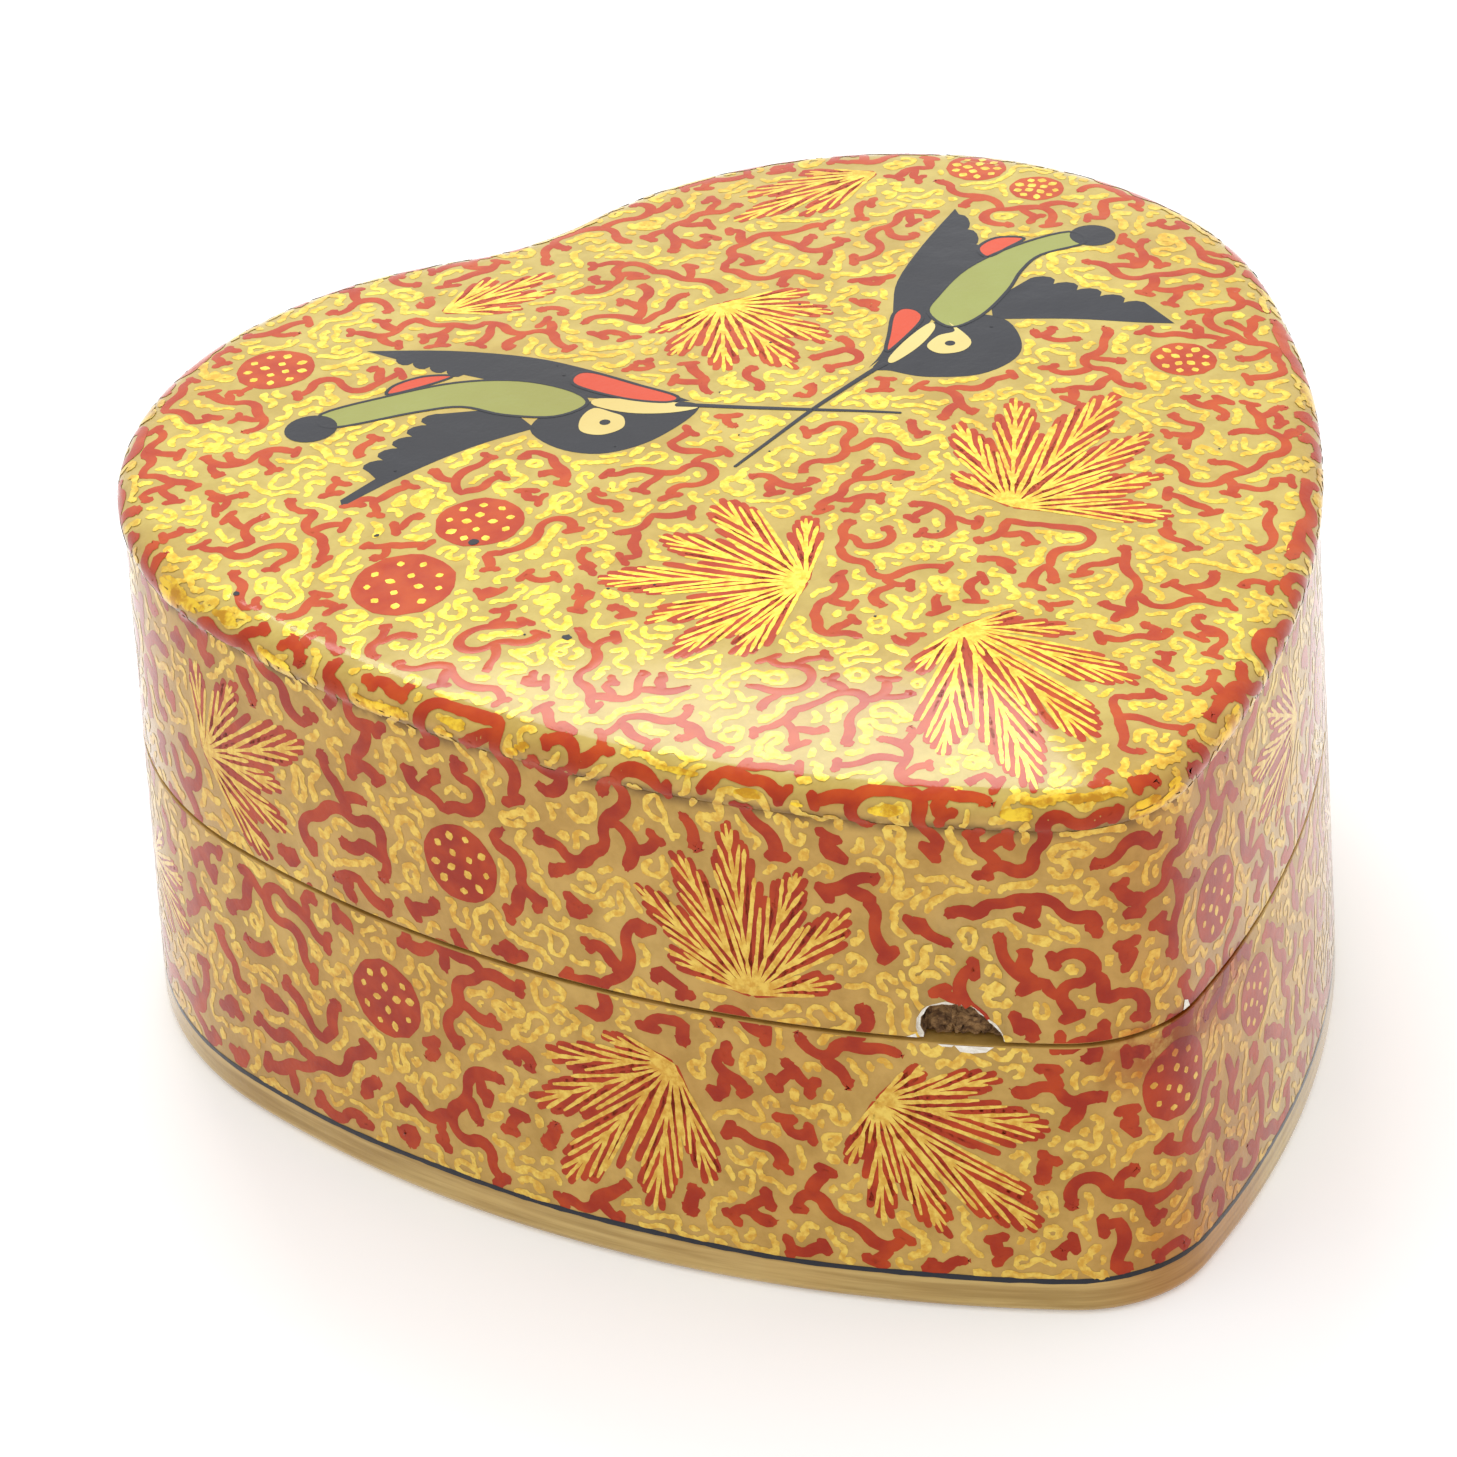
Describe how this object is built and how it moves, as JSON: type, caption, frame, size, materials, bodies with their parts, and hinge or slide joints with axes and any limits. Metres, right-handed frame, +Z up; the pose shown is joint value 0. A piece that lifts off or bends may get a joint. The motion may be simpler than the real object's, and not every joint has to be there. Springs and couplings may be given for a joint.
{
  "type": "heart-shaped trinket box",
  "caption": "Small heart-shaped lidded box in painted papier-mache, with a domed lift-off lid that seats over a locating collar.",
  "frame": {"origin": "on the table, at the middle of the heart's box", "axes": "+Z up through the lid, +Y towards the cleft of the heart and -Y towards its tip, +X to the right seen from the tip"},
  "size_m": [0.0906, 0.097, 0.0462],
  "materials": {
    "painted_ground": "khaki ground paint on papier-mache under glossy aged varnish",
    "black_lacquer": "satin black lacquer on papier-mache"
  },
  "bodies": {
    "base": {"base_wall": "painted_ground", "base_floor_panel": "black_lacquer", "locating_collar": "black_lacquer"},
    "lid": {"lid_wall": "painted_ground", "lid_crown_panel": "painted_ground"}
  },
  "joints": [
    {"name": "lid_lift", "type": "slide", "parent": "base", "child": "lid", "axis": [0, 0, 1], "range_m": [0, 0.06]}
  ]
}
